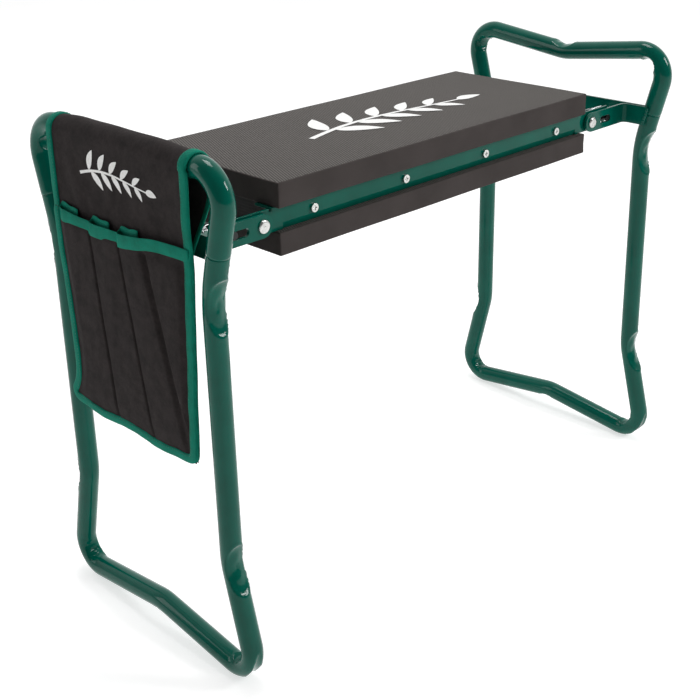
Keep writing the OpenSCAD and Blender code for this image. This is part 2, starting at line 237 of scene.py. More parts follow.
def make_metal(name, color, rough, grain, edge=0.0003):
    """Plated or bare steel, with uneven gloss."""
    made, tree, shader = material(name, color, rough, 1.0)
    shade = ramp(tree, noise(tree, grain, 4), (0.3, tuple(c * 0.72 for c in color)), (0.7, color))
    tree.links.new(shade, shader.inputs["Base Color"])
    gloss = ramp(tree, noise(tree, grain * 3, 3), (0.3, (rough * 0.7,) * 3), (0.7, (rough * 1.4,) * 3))
    tree.links.new(gloss, shader.inputs["Roughness"])
    bump(tree, shader, noise(tree, grain * 6, 2), 0.12, 0.0001, rounded_edges(tree, edge))
    return made


def make_simple(name, dark, light, rough, grain, depth):
    """A dull surface mottled from dark to light."""
    made, tree, shader = material(name, light, rough)
    shade = ramp(tree, noise(tree, grain, 5), (0.3, dark), (0.7, light))
    tree.links.new(shade, shader.inputs["Base Color"])
    bump(tree, shader, noise(tree, grain * 4, 3), 0.3, depth)
    return made


def make_board():
    """Plywood with its plies showing faintly, coloured nearly black as painted shade for the dark gap where its end
    shows between the pads.
    """
    made, tree, shader = material("board_painted_shade", (0.03, 0.026, 0.022), 0.7)
    place = place_of(tree)
    plies = wave(tree, place, (0, 0, 1), 0.0028)
    fac = math_node(tree, "MULTIPLY_ADD", plies, 0.3, noise(tree, 90, 5))
    # painted shade: the near-black ply colours stand in for the shadow on the board's end between the pads
    shade = ramp(tree, fac, (0.2, (0.004, 0.0035, 0.003)), (0.8, (0.012, 0.010, 0.009)))
    tree.links.new(shade, shader.inputs["Base Color"])
    bump(tree, shader, fac, 0.3, 0.0003)
    return made


paint = make_paint("green_paint", 0.18)
edged_paint = make_paint("green_paint_on_plate", 0.11, 0.0006)
foam = make_foam()
cloth_mat = make_weave("polyester_cloth", (0.010, 0.0084, 0.0084), (0.041, 0.033, 0.0325), 0.0010, 0.9,
                       (0, 1, 0), (0, 0, 1), 0.02)
tape_mat = make_weave("binding_tape", (0.0, 0.125, 0.080), (0.0, 0.240, 0.160), 0.0012, 0.75,
                      (0, 1, 1), (0, 1, -1), 0.0, 0.0002)
thread_mat = make_simple("binding_thread", (0.0, 0.10, 0.06), (0.02, 0.24, 0.15), 0.6, 300, 0.0001)
zinc = make_metal("zinc_finish", (0.70, 0.70, 0.68), 0.28, 260)
# painted shade: the lock rod is coloured nearly black so its ends read as the dark recess of the arms' slots
rod_painted_shade_mat = make_metal("rod_painted_shade", (0.045, 0.048, 0.048), 0.34, 240)
steel = make_metal("spring_finish", (0.62, 0.63, 0.64), 0.24, 300, 0.0001)
nylon = make_simple("nylon_finish", (0.012,) * 3, (0.03,) * 3, 0.45, 200, 0.0001)
hook_mat = make_weave("hook_finish", (0.008,) * 3, (0.02,) * 3, 0.0014, 0.9, (0, 1, 0), (0, 0, 1), 0.4, 0.0006)
print_mat = make_simple("white_print", (0.72, 0.72, 0.70), (0.86, 0.86, 0.85), 0.55, 500, 0.00006)
board_painted_shade_mat = make_board()


# ---------------------------------------------------------------- mesh helpers

def mesh_object(name, verts, faces, mat):
    data = bpy.data.meshes.new(name)
    data.from_pydata([tuple(v) for v in verts], [], faces)
    data.materials.append(mat)
    data.polygons.foreach_set("use_smooth", [True] * len(data.polygons))
    data.validate()
    data.update()
    obj = bpy.data.objects.new(name, data)
    scene.collection.objects.link(obj)
    return obj


def outward(obj):
    """Makes the faces of a closed mesh look outwards."""
    bm = bmesh.new()
    bm.from_mesh(obj.data)
    bmesh.ops.recalc_face_normals(bm, faces=bm.faces)
    bm.to_mesh(obj.data)
    bm.free()
    return obj


def merge_down(name, objects, mat):
    """One object from several, in place."""
    bm = bmesh.new()
    for obj in objects:
        part = bmesh.new()
        part.from_mesh(obj.data)
        part.transform(obj.matrix_world)
        temp = bpy.data.meshes.new("temp")
        part.to_mesh(temp)
        part.free()
        bm.from_mesh(temp)
        bpy.data.meshes.remove(temp)
        data = obj.data
        bpy.data.objects.remove(obj)
        bpy.data.meshes.remove(data)
    data = bpy.data.meshes.new(name)
    bm.to_mesh(data)
    bm.free()
    data.materials.append(mat)
    data.polygons.foreach_set("use_smooth", [True] * len(data.polygons))
    made = bpy.data.objects.new(name, data)
    scene.collection.objects.link(made)
    return made


def ring_faces(rows, sides):
    """The faces between rings of vertices, with a cap on each end."""
    faces = []
    for i in range(rows - 1):
        k = i + 1
        for j in range(sides):
            n = (j + 1) % sides
            faces.append((i * sides + j, i * sides + n, k * sides + n, k * sides + j))
    faces.append(tuple(range(sides - 1, -1, -1)))
    faces.append(tuple((rows - 1) * sides + j for j in range(sides)))
    return faces


def grid_faces(rows, columns):
    """The faces of a sheet of rows and columns of vertices."""
    return [(i * columns + j, i * columns + j + 1, (i + 1) * columns + j + 1, (i + 1) * columns + j)
            for i in range(rows - 1) for j in range(columns - 1)]


def smooth_step(t):
    t = np.clip(t, 0, 1)
    return t * t * (3 - 2 * t)


def apply_modifiers(obj):
    """Turns an object's modifiers into mesh."""
    dg = bpy.context.evaluated_depsgraph_get()
    data = bpy.data.meshes.new_from_object(obj.evaluated_get(dg))
    old = obj.data
    obj.modifiers.clear()
    obj.data = data
    bpy.data.meshes.remove(old)


def thicken(obj, thickness):
    """Gives a sheet its thickness, half to each side."""
    made = obj.modifiers.new("thick", "SOLIDIFY")
    made.thickness = thickness
    made.offset = 0.0
    apply_modifiers(obj)
    obj.data.polygons.foreach_set("use_smooth", [True] * len(obj.data.polygons))


def give(piece, body, slot, *nodes):
    """Makes a piece ride on a body, in place of any CAD nodes named. slot is not used."""
    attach(piece, body)
    if nodes:
        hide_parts(*nodes)
    return piece


# ---------------------------------------------------------------- leg frames

def corners(name):
    """Lowest and highest corner of a CAD node at rest, in millimetres."""
    return tuple(np.array(v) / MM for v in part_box(name))


handle_low, handle_high = corners("right_handle_tube")
TUBE_R = (handle_high[0] - handle_low[0]) / 2
FRAME_X = (handle_high[0] + handle_low[0]) / 2
# centre line of one side of a leg frame, as (y, z), where its straights would meet: the CAD's own values
HANDLE_CORNER, HANDLE_MIDDLE = (140.5, 481.6), (0.0, 464.0)
WAIST, SPREAD = (111.4, 371.8), (112.3, 121.3)
FOOT_CORNER, FOOT_MIDDLE = (141.4, 5.6), (0.0, 23.5)
LEAN = (HANDLE_CORNER[0] - WAIST[0]) / (HANDLE_CORNER[1] - WAIST[1])
JOINT_Z = handle_low[2] + TUBE_R * math.sin(math.atan(LEAN))
JOINT = (WAIST[0] + LEAN * (JOINT_Z - WAIST[1]), JOINT_Z)


def flip(points):
    """The same points on the other side of the frame, in the other order."""
    return [(-y, z) for y, z in reversed(points)]


def fillet(points, radii, step=1.6):
    """A line through points with a bend of the given radius at each one, and the row at each bend's middle."""
    points = [np.array(p, float) for p in points]
    rows, middles = [points[0]], []

    def straight(stop):
        gap = stop - rows[-1]
        count = max(1, int(np.linalg.norm(gap) / step))
        start = rows[-1]
        rows.extend(start + gap * k / count for k in range(1, count + 1))

    for i in range(1, len(points) - 1):
        a = points[i] - points[i - 1]
        b = points[i + 1] - points[i]
        a, b = a / np.linalg.norm(a), b / np.linalg.norm(b)
        angle = math.atan2(a[0] * b[1] - a[1] * b[0], a @ b)
        cut = radii[i] * math.tan(abs(angle) / 2)
        straight(points[i] - a * cut)
        hub = rows[-1] + math.copysign(radii[i], angle) * np.array((-a[1], a[0]))
        arm = rows[-1] - hub
        count = max(6, int(radii[i] * abs(angle) / step))
        for k in range(1, count + 1):
            c, s = math.cos(angle * k / count), math.sin(angle * k / count)
            rows.append(hub + np.array((c * arm[0] - s * arm[1], s * arm[0] + c * arm[1])))
            if k == count // 2:
                middles.append(len(rows) - 1)
    straight(points[-1])
    return np.array(rows), middles


def bent_tube(name, end, rows, side, radius, dents, sides=44):
    """A round tube in the plane of a leg frame. A dent is (distance along, angle round, half length, half
    angle, depth, ripple): angle 0 faces away from the middle of the frame, 180 faces into it."""
    ahead = np.gradient(rows, axis=0)
    ahead /= np.linalg.norm(ahead, axis=1)[:, None]
    out = side * np.stack((-ahead[:, 1], ahead[:, 0]), 1)
    along = np.concatenate(([0], np.cumsum(np.linalg.norm(np.diff(rows, axis=0), axis=1))))
    angle = np.arange(sides) * 2 * math.pi / sides
    r = np.repeat(radius(along)[:, None], sides, 1)
    for at, facing, half, width, depth, ripple in dents:
        d = (angle[None, :] - math.radians(facing) + math.pi) % (2 * math.pi) - math.pi
        s = (along[:, None] - at) / half
        e = np.sqrt(s ** 2 + (d / math.radians(width)) ** 2)
        dish = np.clip(1 - e ** 2, 0, 1) ** 0.62
        # the pressed mark is deepest below its middle, and its rim stands a little proud
        r -= depth * dish * (1 + ripple * np.cos(s * 7.5) * (1 - np.clip(e, 0, 1)))
        r += 0.30 * np.exp(-((e - 1.0) / 0.09) ** 2) * (depth / 3)
    x = end * FRAME_X + end * np.sin(angle)[None, :] * r
    y = rows[:, 0:1] + out[:, 0:1] * np.cos(angle)[None, :] * r
    z = rows[:, 1:2] + out[:, 1:2] * np.cos(angle)[None, :] * r
    verts = np.stack((x, y, z), 2).reshape(-1, 3) * MM
    return outward(mesh_object(name, verts, ring_faces(len(rows), sides), paint))


def arc_at(rows, index):
    """Distance along a line of places to one of them."""
    return float(np.sum(np.linalg.norm(np.diff(rows[:index + 1], axis=0), axis=1)))


def make_handle(end, word):
    """Upper tube of a leg frame, dented inside its corners and at its middle."""
    points = [JOINT, HANDLE_CORNER, HANDLE_MIDDLE] + flip([JOINT, HANDLE_CORNER])
    rows, middles = fillet(points, [0, 27, 60, 27, 0])
    corner, middle, other = (arc_at(rows, i) for i in middles)
    total = arc_at(rows, len(rows) - 1)
    dents = [(middle, 0, 17, 62, 2.6, 0.2)]
    for at in (corner, other):
        dents += [(at - 4, 200, 16, 66, 4.2, 0.0)]

    def radius(s):
        # the sleeve that takes the foot frame's end is swaged out a little, with a rolled edge
        near = np.minimum(s, total - s)
        return TUBE_R + 0.18 * (1 - smooth_step((near - 30) / 14)) - 0.15 * (1 - smooth_step(near / 0.9))

    piece = bent_tube(f"{word}_handle_tube_finish", end, rows, -1, radius, dents)
    return give(piece, f"{word}_leg", "green_powder_coat", f"{word}_handle_tube")


def make_foot(end, word):
    """Lower tube of a leg frame, dented outside its waist and spread, and at its corners."""
    side = [JOINT, WAIST, SPREAD, FOOT_CORNER]
    points = side + [FOOT_MIDDLE] + flip(side)
    radii = [0, 150, 80, 25, 60, 25, 80, 150, 0]
    rows, middles = fillet(points, radii)
    where = [arc_at(rows, i) for i in middles]
    total = arc_at(rows, len(rows) - 1)
    dents = []
    for i in (0, 6):
        dents.append((where[i] + (7 if i == 0 else -7), 0, 27, 80, 5.2, 0.22))
    for i in (1, 5):
        dents.append((where[i] + (6 if i == 1 else -6), 0, 26, 78, 5.0, 0.22))
    for i in (2, 4):
        way = 1 if i == 2 else -1
        dents += [(where[i] + way * 8, 180, 12, 58, 3.2, 0.3), (where[i] - way * 7, 180, 10, 50, 1.6, 0.0),
                  (where[i] - way * 1, 0, 20, 34, 3.0, 0.0)]
    dents.append((where[3], 0, 15, 58, 2.2, 0.0))

    def radius(s):
        near = np.minimum(s, total - s)
        return TUBE_R - 0.10 * (1 - smooth_step(near / 1.4)) - 0.06 * (1 - smooth_step((near - 3) / 14))

    piece = bent_tube(f"{word}_foot_tube_finish", end, rows, 1, radius, dents)
    return give(piece, f"{word}_leg", "green_powder_coat", f"{word}_foot_tube")


def make_welds(end, word):
    """Beads where the cross plate and the arms' flanges meet the tubes."""
    beads = []
    low, high = corners("right_cross_plate")
    flange_x = 2 * low[0] - high[0]
    for side in (-1, 1):
        for x, size in ((high[0] + 0.55, 1.9), (flange_x - 0.65, 1.8)):
            rows, sides = 40, 14
            verts = []
            for i in range(rows):
                t = i / (rows - 1)
                z = low[2] + 0.4 + (high[2] - low[2] - 1.8) * t
                y = WAIST[0] + LEAN * (z - WAIST[1]) - math.sqrt(max(TUBE_R ** 2 - (FRAME_X - x) ** 2, 1)) - 0.2
                swell = size * (0.55 + 0.45 * math.sin(math.pi * min(max(t, 0.03), 0.97)) ** 0.35)
                swell *= 1 + 0.10 * math.sin(t * 40) + 0.05 * math.sin(t * 17 + side)
                for j in range(sides):
                    a = j * 2 * math.pi / sides
                    verts.append((end * (x + swell * math.cos(a)), side * (y + swell * math.sin(a)), z))
            beads.append(outward(mesh_object("bead", np.array(verts) * MM, ring_faces(rows, sides), paint)))
    return give(merge_down(f"{word}_weld_beads", beads, paint), f"{word}_leg", "green_powder_coat")


def make_springs(end, word):
    """Two coil springs from the rod to the cross plate, with a hook round the rod."""
    wire_r, hook_r, turns, steps = 0.62, 4.35, 13, 16
    rod_x, _, rod_z = sum(corners("right_lock_rod")) / 2
    plate_x = corners("right_cross_plate")[0][0]
    low, high = corners("right_lock_springs")
    spring_y = high[1] - (high[2] - low[2]) / 2
    made = []
    for side in (-1, 1):
        path = []
        coil_r = (high[2] - low[2]) / 2 - 0.8
        start, stop = rod_x + 8.5, plate_x - 4.5
        for i in range(25):
            a = math.pi * (0.5 + 1.15 * i / 24)
            path.append((rod_x + hook_r * math.cos(a), side * spring_y, rod_z + hook_r * math.sin(a)))
        path.reverse()
        path.append((rod_x + 2.5, side * spring_y, rod_z + 4.3))
        path.append((rod_x + 6.0, side * (spring_y - 1.5), rod_z + 3.9))
        for i in range(turns * steps + 1):
            t = i / (turns * steps)
            a = math.pi / 2 + 2 * math.pi * turns * t
            path.append((start + (stop - start) * t, side * (spring_y - coil_r * math.cos(a)),
                         rod_z + coil_r * math.sin(a)))
        path.append((stop + 2.0, side * spring_y, rod_z + 1.5))
        path.append((plate_x + 0.2, side * spring_y, rod_z))
        pts = [Vector((end * x, y, z)) for x, y, z in path]
        sides, verts = 8, []
        normal = Vector((0, 1, 0))
        for i, p in enumerate(pts):
            t = (pts[min(i + 1, len(pts) - 1)] - pts[max(i - 1, 0)]).normalized()
            normal = (normal - t * normal.dot(t)).normalized()
            other = t.cross(normal)
            for j in range(sides):
                a = j * 2 * math.pi / sides
                verts.append(p + (normal * math.cos(a) + other * math.sin(a)) * wire_r)
        made.append(outward(mesh_object("coil", [v * MM for v in verts], ring_faces(len(pts), sides), steel)))
    piece = merge_down(f"{word}_lock_spring_coils", made, steel)
    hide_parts(f"{word}_lock_springs")
    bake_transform(piece)


# ---------------------------------------------------------------- foam pads

def ladder(low, high, r, step):
    """Places across a rounded box: close together round its edges, even between them."""
    turn = [r * (1 - math.cos(math.pi / 2 * k / 4)) for k in range(5)]
    count = max(2, int((high - low - 2 * r) / step))
    inner = [low + r + (high - low - 2 * r) * k / count for k in range(1, count)]
    return [low + t for t in turn] + inner + [high - t for t in reversed(turn)]


def rounded_box(name, low, high, r, step, mat):
    """A closed box with its edges and corners rounded to r."""
    spans = [ladder(low[i], high[i], r, step) for i in range(3)]
    low, high = np.array(low, float), np.array(high, float)
    verts, faces = [], []
    for axis in range(3):
        u, v = (axis + 1) % 3, (axis + 2) % 3
        for end in (0, 1):
            base = len(verts)
            for a in spans[u]:
                for b in spans[v]:
                    p = np.zeros(3)
                    p[axis], p[u], p[v] = (high if end else low)[axis], a, b
                    core = np.clip(p, low + r, high - r)
                    way = p - core
                    length = np.linalg.norm(way)
                    verts.append(core + way / length * r if length > 0 else p)
            n, m = len(spans[u]), len(spans[v])
            for i in range(n - 1):
                for j in range(m - 1):
                    f = (base + i * m + j, base + (i + 1) * m + j, base + (i + 1) * m + j + 1, base + i * m + j + 1)
                    faces.append(f if end else tuple(reversed(f)))
    obj = mesh_object(name, np.array(verts) * MM, faces, mat)
    bm = bmesh.new()
    bm.from_mesh(obj.data)
    bmesh.ops.remove_doubles(bm, verts=bm.verts, dist=1e-6)
    bm.to_mesh(obj.data)
    bm.free()
    return obj


def make_pad(name, cad, top_side):
    """A cut foam block: soft arrises, faintly crowned face, and cut sides that waver a little."""
    low, high = (np.array(v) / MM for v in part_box(cad))
    piece = rounded_box(name, low, high, 1.3, 7, foam)
    co = np.array([v.co for v in piece.data.vertices]) / MM
    half = (high - low) / 2
    q = (co - (low + high) / 2) / half
    reach = np.clip((co[:, 2] - (low + high)[2] / 2) / half[2] * top_side, 0, 1)
    crown = (1 - q[:, 0] ** 4) * (1 - q[:, 1] ** 4)
    co[:, 2] += top_side * reach * (0.5 * crown + 0.25 * np.sin(q[:, 0] * 5.1 + 1) * np.sin(q[:, 1] * 3.3))
    waist = (1 - q[:, 2] ** 2)
    co[:, 1] -= np.sign(q[:, 1]) * (np.abs(q[:, 1]) > 0.97) * (0.35 * waist + 0.3 * np.sin(q[:, 0] * 7.3))
    co[:, 0] -= np.sign(q[:, 0]) * (np.abs(q[:, 0]) > 0.985) * (0.35 * waist + 0.3 * np.sin(q[:, 1] * 4.1))
    piece.data.vertices.foreach_set("co", (co * MM).ravel())
    piece.data.update()
    give(piece, "seat", "eva_foam", cad)


# ---------------------------------------------------------------- tool pouch

panel_low, panel_high = corners("pouch_edge_binding")
POUCH_LOW, POUCH_HALF = panel_low[2], (panel_high[1] - panel_low[1]) / 2
MOUTH_Z = corners("pouch_pockets")[1][2]
PANEL_GAP, SADDLE_GAP, BINDING_OVER = 1.6, 1.75, 0.95
PANEL_X = -FRAME_X - TUBE_R - PANEL_GAP
SADDLE_R = TUBE_R + SADDLE_GAP
SADDLE_Z = panel_high[2] - SADDLE_R - BINDING_OVER
FRONT_LIMIT = corners("pouch_pocket_binding")[0][0]
PANEL_CLOTH, POCKET_CLOTH = 0.9 * MM, 0.7 * MM


def up_the_pouch(z):
    """0 at the pouch's lower edge, 1 at the middle of its part over the handle."""
    return (np.asarray(z, float) - POUCH_LOW) / (SADDLE_Z - POUCH_LOW)


def near_edge(z):
    """The pouch is drawn in towards its lower edge."""
    return -(POUCH_HALF - 5) - 11 * smooth_step(up_the_pouch(z) / 0.8)


def far_edge(z):
    """Drawn in as well, but its lower corner curls outwards."""
    u = up_the_pouch(z)
    return POUCH_HALF - 10 + 10 * smooth_step((u - 0.15) / 0.7) + 14 * np.exp(-(np.clip(u, 0, 1) / 0.08) ** 2)


def low_edge(y):
    """Height of the pouch's lower edge, which waves a little."""
    return POUCH_LOW - 3 + 1.3 * np.sin(np.asarray(y, float) / 13 + 1)


def crease(foot, top):
    """A pleat's fold, which leans from its foot at the lower edge to its top at the pockets' mouth."""
    def at(z):
        return foot + (top - foot) * np.clip((np.asarray(z, float) - POUCH_LOW) / (MOUTH_Z - POUCH_LOW), 0, 1.05)

    return at


# foot and top of each fold, as shares of half the pouch's width
FOLDS = [(POUCH_HALF * foot, POUCH_HALF * head) for foot, head in ((0.20, 0.36), (-0.35, -0.07), (-0.91, -0.45))]
crease_a, crease_b, crease_c = (crease(foot, head) for foot, head in FOLDS)


def mouth(y):
    """Height of the pockets' mouth, which rides up towards both edges."""
    v = np.asarray(y, float) / POUCH_HALF
    return MOUTH_Z - 0.5 + 7 * smooth_step((-v - 0.05) / 0.71) + 3.5 * smooth_step((v - 0.31) / 0.66)


def ripple(y, z):
    """Slow unevenness of hanging cloth."""
    return (0.55 * np.sin(y / 17.0 + z / 41.0) * np.sin(z / 29.0 + 1.3) + 0.30 * np.sin(y / 7.7 - z / 23.0 + 0.6)
            * np.sin(z / 13.0) + 0.14 * np.sin(y / 3.1 + z / 9.0))


def panel_out(y, z):
    """How far the panel stands out from its plane, with the drag lines below the handle's corners."""
    below = SADDLE_Z - z
    band = smooth_step((z - MOUTH_Z + 8) / 30) * smooth_step(below / 30)
    near_drag = np.exp(-((y + 0.94 * POUCH_HALF + (below - 23) * 0.42) / 9.0) ** 2)
    far_drag = np.exp(-((y - 0.71 * POUCH_HALF + (below - 8) * 0.25) / 8.0) ** 2)
    sag = np.exp(-((below - 0.63 * (SADDLE_Z - MOUTH_Z)) / 26) ** 2) * np.cos(1.58 * y / POUCH_HALF) ** 2
    return ripple(y, z) * smooth_step((below + 6) / 30) * 0.8 + (near_drag + 0.8 * far_drag) * band - 1.2 * sag


def pocket_out(y, z):
    """How far the pocket cloth stands out from the panel. Beyond each fold's edge it drops into a narrow groove."""
    y, z = np.broadcast_arrays(np.asarray(y, float), np.asarray(z, float))
    t = np.clip((z - POUCH_LOW) / (MOUTH_Z - POUCH_LOW), 0, 1)
    folds = [crease_a(z), crease_b(z), crease_c(z)]
    left, right = far_edge(z) - 7, near_edge(z) + 7
    full = np.ones(y.shape)
    for start, stop in zip([left] + folds, folds + [right]):
        q = np.clip((start - y) / np.maximum(start - stop, 1), 0, 1)
        inside = (y <= start) & (y > stop)
        full = np.where(inside, 1.0 - 0.26 * q + 0.12 * np.sin(math.pi * q), full)
    for fold, flat, width in zip(folds, (3.0, 2.6, 5.0), (2.6, 2.4, 6.5)):
        full = full * np.where(y >= fold, 0.02 + 0.98 * smooth_step((y - fold - flat) / width), 1.0)
    full = full * (0.10 + 0.90 * smooth_step((left - y) / 15)) * (0.08 + 0.92 * smooth_step((y - right) / 9))
    # the lower hem gathers the fullness back to the panel
    hem = smooth_step((z - POUCH_LOW - 4) / 16)
    return 0.7 + (2.0 + 2.6 * t ** 0.8) * full * (0.45 + 0.55 * hem) + 0.3 * ripple(y * 1.7 + 20, z * 0.9)


def pocket_cloth_out(y, z):
    """The same, drawn in to run just behind the tape at the mouth."""
    near = smooth_step((z - (MOUTH_Z - 14)) / 8)
    return pocket_out(y, z) * (1 - near) + (tape_out(y) - 0.5) * near


def front_x(y, z):
    """The panel's place from side to side of the seat."""
    return PANEL_X - panel_out(y, z)


def cloth_x(y, z):
    """The front cloth's place, which leans back onto the part over the handle near its top."""
    start = SADDLE_Z - 38
    lean = smooth_step((z - start) / (saddle_centre(y) - start))
    return front_x(y, z) * (1 - lean) + (-FRAME_X - SADDLE_R) * lean


def pocket_x(y, z):
    """The pocket cloth's place, kept inside the front of the CAD's tape."""
    return np.maximum(PANEL_X - 1.0 - 0.35 * panel_out(y, z) - pocket_cloth_out(y, z), FRONT_LIMIT - 0.4)


def saddle_centre(y):
    """Height of the middle of the part over the handle, which drops at the handle's bends."""
    return SADDLE_Z - 2.3 * smooth_step((np.abs(np.asarray(y, float)) / POUCH_HALF - 0.56) / 0.46)


FLAP_TOP, FLAP_END = SADDLE_Z - 7.5, MOUTH_Z - 14


def flap_x(z):
    """The back flap falls straight from the handle and then slopes to the panel's back."""
    back, front = -FRAME_X + SADDLE_R + 1.0, PANEL_X + 3.8
    return back + (front - back) * float(smooth_step((SADDLE_Z - 22 - z) / 62))


def section(y, s):
    """A place on the cloth: s from 0 at the lower edge to 1 where it leaves the front, to 2 over the handle, and
    to 3 at the end of the back flap. Also the way it faces there."""
    low = low_edge(y) + 4
    zc = saddle_centre(y)
    if s <= 1:
        z = low + (zc - low) * s
        return Vector((float(cloth_x(y, z)), y, z)), Vector((-1, 0, 0))
    if s <= 2:
        a = math.pi * (s - 1)
        way = Vector((-math.cos(a), 0, math.sin(a)))
        return Vector((-FRAME_X, y, zc)) + way * (SADDLE_R + 0.15 * math.sin(y / 9.0) * math.sin(a)), way
    z = FLAP_TOP + (FLAP_END - FLAP_TOP) * (s - 2)
    x = flap_x(z)
    # it leaves the round part over the handle without a step
    join = max(0.0, 1 - (s - 2) * 12)
    x = x * (1 - join) + (-FRAME_X + SADDLE_R) * join
    z = z * (1 - join) + zc * join
    way = Vector((2.0, 0, flap_x(z - 1) - flap_x(z + 1))).normalized()
    loose = min(1, max(0, (SADDLE_Z - 13 - z) / 20)) * min(1, max(0, (z - MOUTH_Z + 5) / 12))
    x += 0.5 * math.sin(y / 21.0 + z / 17.0) * loose
    return Vector((x, y, z)), way


def make_pouch_cloth():
    """One cloth: up the front, over the handle and down the back flap."""
    down = [i / 74 for i in range(75)]
    down += [1 + (i + 1) / 20 for i in range(20)] + [2 + (i + 1) / 40 for i in range(40)]
    columns = 110
    verts = []
    for s in down:
        for j in range(columns):
            f = j / (columns - 1)
            z = POUCH_LOW - 2 + (SADDLE_Z - POUCH_LOW + 2) * min(s, 1)
            inset = 6.5 * max(0.0, s - 2)
            left = float(far_edge(z)) - 2.5 if s <= 1 else float(far_edge(SADDLE_Z)) - 3 - inset
            right = float(near_edge(z)) + 2.5 if s <= 1 else float(near_edge(SADDLE_Z)) + 4 + inset
            p, _ = section(left + (right - left) * f, s)
            verts.append(p)
    piece = mesh_object("pouch_cloth", [v * MM for v in verts], grid_faces(len(down), columns), cloth_mat)
    thicken(piece, PANEL_CLOTH)
    give(piece, "left_leg", "black_polyester", "pouch_panel")
    return piece


def make_pockets():
    """The pleated cloth on the panel's front."""
    rows = 78
    verts = []
    for i in range(rows):
        t = i / (rows - 1)
        z0 = POUCH_LOW + (MOUTH_Z + 1 - POUCH_LOW) * t
        left, right = float(far_edge(z0)) - 3, float(near_edge(z0)) + 3
        a, b, c = float(crease_a(z0)), float(crease_b(z0)), float(crease_c(z0))
        # columns crowd up at each crease, where the cloth turns over sharply
        marks = []
        for lo, hi, n in ((left, a + 0.35, 56), (a - 0.35, b + 0.35, 46), (b - 0.35, c + 0.5, 60),
                          (c - 0.5, right, 40)):
            for k in range(n):
                marks.append(lo + (hi - lo) * (0.5 - 0.5 * math.cos(math.pi * (k / (n - 1)))))
        columns = len(marks)
        for y in marks:
            low = float(low_edge(y)) + 3
            z = low + (float(mouth(y)) - 1.0 - low) * t
            verts.append((float(pocket_x(y, z)), y, z))
    piece = mesh_object("pouch_pocket_cloth", np.array(verts) * MM, grid_faces(rows, columns), cloth_mat)
    thicken(piece, POCKET_CLOTH)
    give(piece, "left_leg", "black_polyester", "pouch_pockets")
    return piece


def strip(name, stations):
    """A folded tape: each station is a list of the same number of places round its section."""
    sides = len(stations[0])
    verts = [p for row in stations for p in row]
    faces = ring_faces(len(stations), sides)
    return outward(mesh_object(name, [Vector(v) * MM for v in verts], faces, tape_mat))


# where each pocket's tape starts and stops along the mouth
TAPE_ENDS = [float(far_edge(MOUTH_Z)) - 14, FOLDS[0][1], FOLDS[1][1], float(near_edge(MOUTH_Z)) + 3]
TAPE_SPANS = list(zip(TAPE_ENDS, TAPE_ENDS[1:]))


def tape_out(y):
    """How far the tape in front stands out: a flat band from each fold to where the next pleat starts."""
    for (start, stop), (high, low) in zip(TAPE_SPANS, ((4.6, 3.4), (5.4, 3.4), (5.6, 2.0))):
        if y > stop:
            f = min(max((start - y) / (start - stop), 0), 1)
            out = high + (low - high) * f ** 1.8
            return 1.6 + (out - 1.6) * float(smooth_step((TAPE_ENDS[0] + 6 - y) / 12))
    return 1.6


def make_pocket_binding():
    """One tape on each pocket's mouth. It starts behind its pleat, turns round the fold and runs on in front."""
    runs = []
    for start, stop in TAPE_SPANS:
        # the piece behind stands higher than the mouth, and starts this side of the fold
        fold_y, front = start - 0.8, stop - 0.5
        back = fold_y - 25
        z_fold = float(mouth(fold_y)) + 0.2
        z_back = (float(mouth(back)) + 4.4, z_fold + 5.1)
        rows = []
        for k in range(14):
            f = k / 13
            y = back + (fold_y - 0.6 - back) * f
            z = z_back[0] + (z_back[1] - z_back[0]) * f + 0.5 * math.sin(f * 9)
            rows.append((y, 1.25 + 0.35 * math.sin(f * 6), z, 9.0))
        near = tape_out(fold_y - 2.5)
        for k in range(1, 8):
            a = math.pi * k / 8
            f = k / 8
            rows.append((fold_y + 0.5 * math.sin(a), 1.3 + (near - 1.3) * (0.5 - 0.5 * math.cos(a)),
                         z_back[1] + (z_fold - z_back[1]) * f ** 0.7, 9.0 + 3.2 * f))
        count = max(16, int(abs(front - fold_y) / 1.2))
        for k in range(count + 1):
            f = k / count
            y = fold_y - 0.6 + (front - fold_y + 0.6) * f
            z = float(mouth(y)) if f > 0.08 else z_fold + (float(mouth(y)) - z_fold) * f / 0.08
            high = 12.4 - 1.6 * smooth_step((-20 - y) / 30)
            rows.append((y, tape_out(y), z + 0.12 * math.sin(y / 5.0), high))
        stations = []
        for i, (y, off, z, high) in enumerate(rows):
            before, after = rows[max(i - 1, 0)], rows[min(i + 1, len(rows) - 1)]
            t = np.array((after[0] - before[0], -(after[1] - before[1])))
            t /= max(np.linalg.norm(t), 1e-6)
            # faces away from the panel in front and towards it behind
            ny, nx = (t[1], -t[0])
            base_x = PANEL_X - 1.0 - 0.35 * float(panel_out(y, z - 5))
            row = []
            for drop, push in ((high, 0.10), (high - 0.3, 0.30), (high * 0.5, 0.34), (0.6, 0.30), (0.0, 0.10),
                               (0.0, -0.10), (0.6, -0.32), (high * 0.5, -0.36), (high - 0.6, -0.32),
                               (high - 0.2, -0.10)):
                px = base_x - off - push * (-nx)
                row.append((max(px, FRONT_LIMIT - 1.2), y + push * ny, z - drop))
            stations.append(row)
        runs.append(strip("run", stations))
    piece = merge_down("pouch_pocket_tapes", runs, tape_mat)
    give(piece, "left_leg", "green_binding", "pouch_pocket_binding")
    return piece


